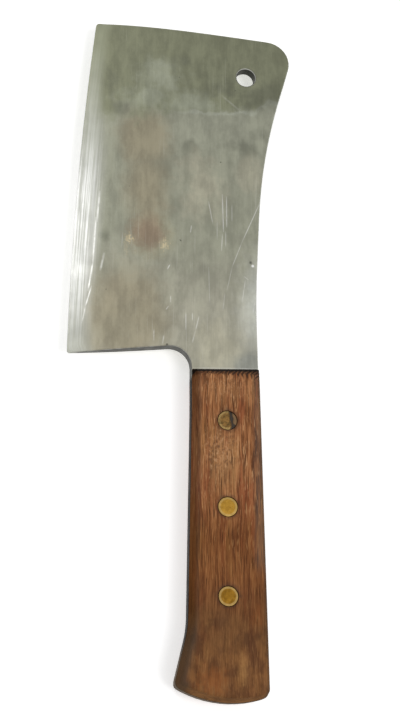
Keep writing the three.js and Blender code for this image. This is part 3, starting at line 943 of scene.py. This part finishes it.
def wood_material():
    s = Surface("worn_wood")
    flank = s.value("flank_distance")
    front = s.value("front_distance")
    butt = s.value("butt_distance")
    rasp = s.value("rasp")
    sheen = s.ramp(s.math("MINIMUM", flank, butt), 0.9, 2.4, 0, 0.15)
    s.feed(s.shader.inputs["Specular IOR Level"], sheen)
    bend = s.times(s.math("SUBTRACT", s.noise(0.02, 2), 0.5), 4)
    bent = s.joined(s.plus(s.x, bend), s.y, s.z)
    streak = s.noise(1, 5, 0.66, s.stretch(bent, (0.46, 0.03, 0.46)))
    fibre = s.noise(1, 4, 0.62, s.stretch(bent, (2.1, 0.075, 2.1), (4, 8, 2)))
    pore = s.noise(1, 2, 0.5, s.stretch(bent, (2.5, 0.085, 2.5), (9, 1, 6)))
    cloud = s.noise(0.07, 3, 0.6)
    small = s.noise(0.45, 3, 0.6)
    blotch = s.noise(0.22, 3, 0.6, s.stretch(s.place, (1, 0.55, 1), (5, 3, 2)))

    # Streaks of dark, middle and light brown, with redder and yellower bands among them
    figure = s.plus(fibre, streak, 0.8)
    colour = s.mix(s.ramp(figure, 0.735, 0.89), (0.1, 0.035, 0.0115), (0.235, 0.093, 0.031))
    colour = s.mix(s.ramp(figure, 0.885, 1.06), colour, (0.42, 0.195, 0.08))
    red = s.ramp(s.noise(1, 3, 0.6, s.stretch(bent, (0.3, 0.025, 0.3), (2, 5, 8))), 0.5, 0.66)
    colour = s.mix(s.times(red, 0.5), colour, (0.275, 0.075, 0.028))
    yellow = s.ramp(s.noise(1, 3, 0.6, s.stretch(bent, (0.22, 0.03, 0.22), (7, 1, 4))), 0.52, 0.68)
    colour = s.mix(s.times(yellow, 0.4), colour, (0.36, 0.185, 0.06))

    # Paler where the hand has rubbed it, redder below, olive and blotchy towards the butt
    wavy = s.plus(s.y, cloud, 34)
    colour = s.mix(s.ramp(wavy, -46, -72, 0, 0.42), colour, (0.14, 0.047, 0.0135))
    butt_colour = s.mix(s.ramp(blotch, 0.36, 0.64), (0.09, 0.042, 0.017), (0.23, 0.115, 0.045))
    colour = s.mix(s.ramp(wavy, -96, -114, 0, 0.66), colour, butt_colour)
    bare_warp = s.times(s.math("SUBTRACT", s.plus(fibre, small, 0.5), 0.75), 2)
    bare = s.spots(
        GRIP_FACE, bare_warp,
        (17, -56, (9, 22, 12), 0.9, 1),
        (25, -145, (3, 9, 6), 0.9, 1),
        (20, -24, (16, 9, 12), 0.9, 0.5),
    )
    bare = s.most(bare, s.spots(LOWER_GRIP_FACE, bare_warp, (16, -70, (10, 34, 12), 0.9, 0.8)))
    colour = s.mix(s.times(bare, 0.5), colour, (0.43, 0.243, 0.102))
    crumbs = s.noise(0.95, 3, 0.65, s.stretch(s.place, (1, 0.6, 1), (6, 2, 5)))
    rough = s.spots(
        GRIP_FACE, bare_warp,
        (15.5, -51, (9.5, 13, 12), 0.7, 1),
        (20, -21, (16, 9, 12), 0.7, 0.6),
    )
    colour = s.mix(s.times(rough, s.ramp(crumbs, 0.46, 0.36), 0.6), colour, (0.5, 0.3, 0.165))
    colour = s.mix(s.times(rough, s.ramp(crumbs, 0.52, 0.62), 0.7), colour, (0.1, 0.05, 0.026))
    orange = s.spots(
        GRIP_FACE, bare_warp,
        (31.5, -122.5, (4, 8, 8), 0.9, 1),
        (12, -150, (9, 8, 6), 0.9, 1),
    )
    colour = s.mix(s.times(orange, 0.5), colour, (0.3, 0.105, 0.03))
    pores = s.times(s.ramp(pore, 0.55, 0.66), s.ramp(cloud, 0.3, 0.6, 0.5, 1))
    pores = s.times(pores, s.ramp(wavy, -114, -90, 0.35, 1))
    colour = s.mix(s.times(pores, 0.85), colour, (0.045, 0.016, 0.007))
    flecks = s.ramp(s.noise(1, 2, 0.5, s.stretch(bent, (2.2, 0.2, 2.2), (3, 6, 1))), 0.58, 0.7)
    colour = s.mix(s.times(flecks, s.ramp(s.y, -110, -50, 0.2, 0.7)), colour, (0.52, 0.295, 0.14))

    # Painted shade on the left shoulder, dirt and painted shade at the front end, a painted highlight round
    # the butt, dust, dark rasp strokes and grime round the rivets
    # Painted shade: the shoulder on the left side is drawn darker than the one on the right
    edge_side = s.ramp(s.x, 14, 8)
    shoulder = s.times(s.ramp(s.plus(flank, s.math("SUBTRACT", fibre, 0.5), 3), 4.0, 2.0), edge_side)
    colour = s.mix(s.times(shoulder, 0.5), colour, (0.115, 0.054, 0.028))
    colour = s.scale(colour, s.ramp(shoulder, 0, 1, 1, 0.78))
    glaze = s.mix(s.ramp(wavy, -42, -76), (1.2, 1.13, 1.1), (1.1, 0.99, 0.76))
    colour = s.vector("MULTIPLY", colour, glaze).outputs[0]
    colour = s.scale(colour, s.ramp(s.math("ABSOLUTE", s.plus(s.y, -DARK_BAND)), 8, 20, 0.79, 0.98))
    # Painted highlight: a paler, yellower band along the butt's edge
    colour = s.mix(s.times(s.ramp(butt, 2.2, 0.8), 0.35), colour, (0.175, 0.112, 0.066))
    greyed = s.times(s.ramp(s.x, 29, 32.5), s.ramp(s.y, -108, -98), s.ramp(fibre, 0.35, 0.6, 1, 0.5))
    colour = s.mix(s.times(greyed, 0.45), colour, (0.09, 0.092, 0.084))
    # Dust along the right flank, and painted shade on the left flank towards the butt
    dust_and_shade = s.most(
        s.times(s.ramp(flank, 2.8, 1.4), s.ramp(edge_side, 1, 0), s.ramp(small, 0.3, 0.7, 0.6, 1)),
        s.times(s.ramp(flank, 5.5, 1.4), edge_side, s.ramp(s.y, -118, -136)),
    )
    colour = s.mix(s.times(dust_and_shade, 0.66), colour, (0.085, 0.056, 0.034))
    jitter = s.math("SUBTRACT", s.plus(small, fibre, 0.6), 0.8)
    # Painted shade and dirt darken the front end of the scale
    colour = s.scale(colour, s.ramp(s.plus(front, jitter, 1.4), 3.2, 1.8, 1, 0.5))
    # The rasp strokes drawn dark
    colour = s.mix(s.times(s.ramp(rasp, 0.06, 0.4), 0.82), colour, (0.036, 0.019, 0.012))
    # Painted shadow, with dirt: a near-black line where the front of the scale meets the blade
    line = s.ramp(s.plus(front, jitter, 0.5), 1.3, 0.7)
    line = s.times(line, s.ramp(s.plus(front, jitter, 1.5), -3.4, -0.5))
    colour = s.mix(line, colour, (0.012, 0.008, 0.006))
    ring_warp = s.times(s.math("SUBTRACT", small, 0.5), 0.5)
    ring_rows = [(*rivet["centre"], (rivet["radius"] + 2.1,) * 2 + (9,), 0.4, 1) for rivet in rivets]
    rings = [s.spots(height, ring_warp, *ring_rows) for height in (GRIP_FACE, LOWER_GRIP_FACE)]
    colour = s.mix(s.times(s.most(*rings), 0.72), colour, (0.07, 0.03, 0.015))

    roughness = s.plus(s.ramp(figure, 0.6, 1.1, 0.62, 0.5), pores, 0.2)
    height = s.plus(s.plus(fibre, pore, -0.8), pores, -0.6)
    normal = s.bump(height, 0.5, 0.16)
    return s.finish(colour, roughness, normal, 0.0)


def brass_material(name, bright, dull, tarnish):
    s = Surface(f"{name}_brass")
    radius = s.value("radius")
    depth = s.value("depth")
    medium = s.noise(0.5, 4, 0.6)
    small = s.noise(1.6, 3, 0.6)
    hair = s.noise(1, 2, 0.6, s.stretch(s.place, (5, 0.8, 5), (1, 2, 3), (0, 0, 0.5)))
    colour = s.mix(s.ramp(s.plus(medium, small, 0.4), 0.55, 0.9), bright, dull)
    head_radius = rivets[0]["radius"]
    rim = s.ramp(radius, head_radius * 0.7, head_radius * 0.82)
    rim = s.times(rim, s.ramp(radius, head_radius, head_radius * 0.95))
    colour = s.mix(s.times(rim, 0.5), colour, (0.52, 0.38, 0.16))
    colour = s.mix(s.times(s.ramp(hair, 0.62, 0.74), 0.2), colour, (0.6, 0.42, 0.16))
    stained = s.times(s.ramp(s.plus(medium, small, 0.6), 0.7, 1.0), tarnish)
    colour = s.mix(stained, colour, (0.1, 0.075, 0.032))
    brown = s.ramp(s.plus(depth, small, 0.15), 0.26, 0.36)
    colour = s.mix(s.times(brown, 0.85), colour, (0.2, 0.112, 0.05))
    # Nearly black where the surface lies deepest below the head's top
    deep_dark = s.ramp(s.plus(depth, small, 0.2), 0.55, 0.8)
    colour = s.mix(deep_dark, colour, (0.05, 0.038, 0.028))
    roughness = s.plus(s.ramp(medium, 0.3, 0.7, 0.42, 0.55), s.most(brown, stained), 0.2)
    normal = s.bump(s.plus(hair, small, 0.5), 0.2, 0.05)
    return s.finish(colour, roughness, normal, s.plus(1.0, brown, -0.7))


# Pieces

def place(piece, node, slot, material):
    piece.data.materials.append(material)
    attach(piece, BODY)
    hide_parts(node)


wood = wood_material()
place(make_blade(), "blade", "blade_steel", steel_material())
place(make_scale("upper_scale", 1), "upper_scale", "scale_wood", wood)
place(make_scale("lower_scale", -1), "lower_scale", "scale_wood", wood)
brasses = {
    "front": brass_material("grimy", (0.3, 0.166, 0.053), (0.2, 0.112, 0.037), 0.6),
    "middle": brass_material("clean", (0.45, 0.25, 0.04), (0.38, 0.205, 0.03), 0.12),
    "rear": brass_material("dull", (0.27, 0.137, 0.017), (0.222, 0.11, 0.0125), 0.08),
}
for each_rivet in rivets:
    for rivet_piece, rivet_node in make_rivet(each_rivet):
        place(rivet_piece, rivet_node, "rivet_brass", brasses[each_rivet["name"]])


# Studio: a white floor, an even white surround and soft lamps

FLOOR_WIDTH_M = 8.0
FLOOR_WHITE = 0.93
FLOOR_GLOW = 0.47
SURROUND_STRENGTH = 0.42

# Lamps: name, place and size in metres, and power
LAMPS = (
    ("key_lamp", (0.55, -0.45, 1.55), (0.6, 0.6), 9),
    ("edge_lamp", (-0.35, 0.45, 1.4), (0.25, 0.9), 1.6),
    ("fill_lamp", (-0.5, 1.0, 1.2), (1.2, 1.2), 2),
)


def make_floor():
    half = FLOOR_WIDTH_M / 2
    mesh = bpy.data.meshes.new("floor")
    corners = [(-half, -half, 0), (half, -half, 0), (half, half, 0), (-half, half, 0)]
    mesh.from_pydata(corners, [], [(0, 1, 2, 3)])
    floor = bpy.data.objects.new("floor", mesh)
    bpy.context.scene.collection.objects.link(floor)
    paint = bpy.data.materials.new("white_floor")
    paint.use_nodes = True
    shader = paint.node_tree.nodes["Principled BSDF"]
    shader.inputs["Base Color"].default_value = (FLOOR_WHITE, FLOOR_WHITE, FLOOR_WHITE, 1)
    shader.inputs["Roughness"].default_value = 0.9
    shader.inputs["Specular IOR Level"].default_value = 0.1
    shader.inputs["Emission Color"].default_value = (1, 1, 1, 1)
    shader.inputs["Emission Strength"].default_value = FLOOR_GLOW
    mesh.materials.append(paint)


def make_lamp(name, place_m, size_m, power):
    lamp = bpy.data.lights.new(name, "AREA")
    lamp.shape = "RECTANGLE"
    lamp.size, lamp.size_y = size_m
    lamp.energy = power
    holder = bpy.data.objects.new(name, lamp)
    holder.location = place_m
    holder.rotation_euler = Vector(place_m).to_track_quat("Z", "Y").to_euler()
    bpy.context.scene.collection.objects.link(holder)


def make_surround(strength):
    world = bpy.data.worlds.new("studio")
    world.use_nodes = True
    background = world.node_tree.nodes["Background"]
    background.inputs["Color"].default_value = (1.0, 1.0, 1.0, 1)
    background.inputs["Strength"].default_value = strength
    bpy.context.scene.world = world


def make_camera():
    sideways, level = math.sin(CAMERA_SIDESTEP), math.cos(CAMERA_SIDESTEP)
    back = Vector((-sideways, -math.sin(CAMERA_TILT) * level, math.cos(CAMERA_TILT) * level))
    up = Vector((0, 1, 0))
    up = (up - back * up.dot(back)).normalized()
    right = up.cross(back)
    lens = bpy.data.cameras.new("camera")
    lens.sensor_width = SENSOR
    lens.lens = SENSOR * FOCAL_PIXELS / IMAGE_HEIGHT
    lens.clip_start = CAMERA_NEAR_M
    holder = bpy.data.objects.new("camera", lens)
    location = (Vector(CAMERA_AIM) + back * CAMERA_DISTANCE) * MM
    holder.matrix_world = Matrix.Translation(location) @ Matrix((right, up, back)).transposed().to_4x4()
    bpy.context.scene.collection.objects.link(holder)
    bpy.context.scene.camera = holder


make_floor()
make_surround(SURROUND_STRENGTH)
for lamp_settings in LAMPS:
    make_lamp(*lamp_settings)
make_camera()
bpy.context.scene.view_settings.view_transform = "Standard"
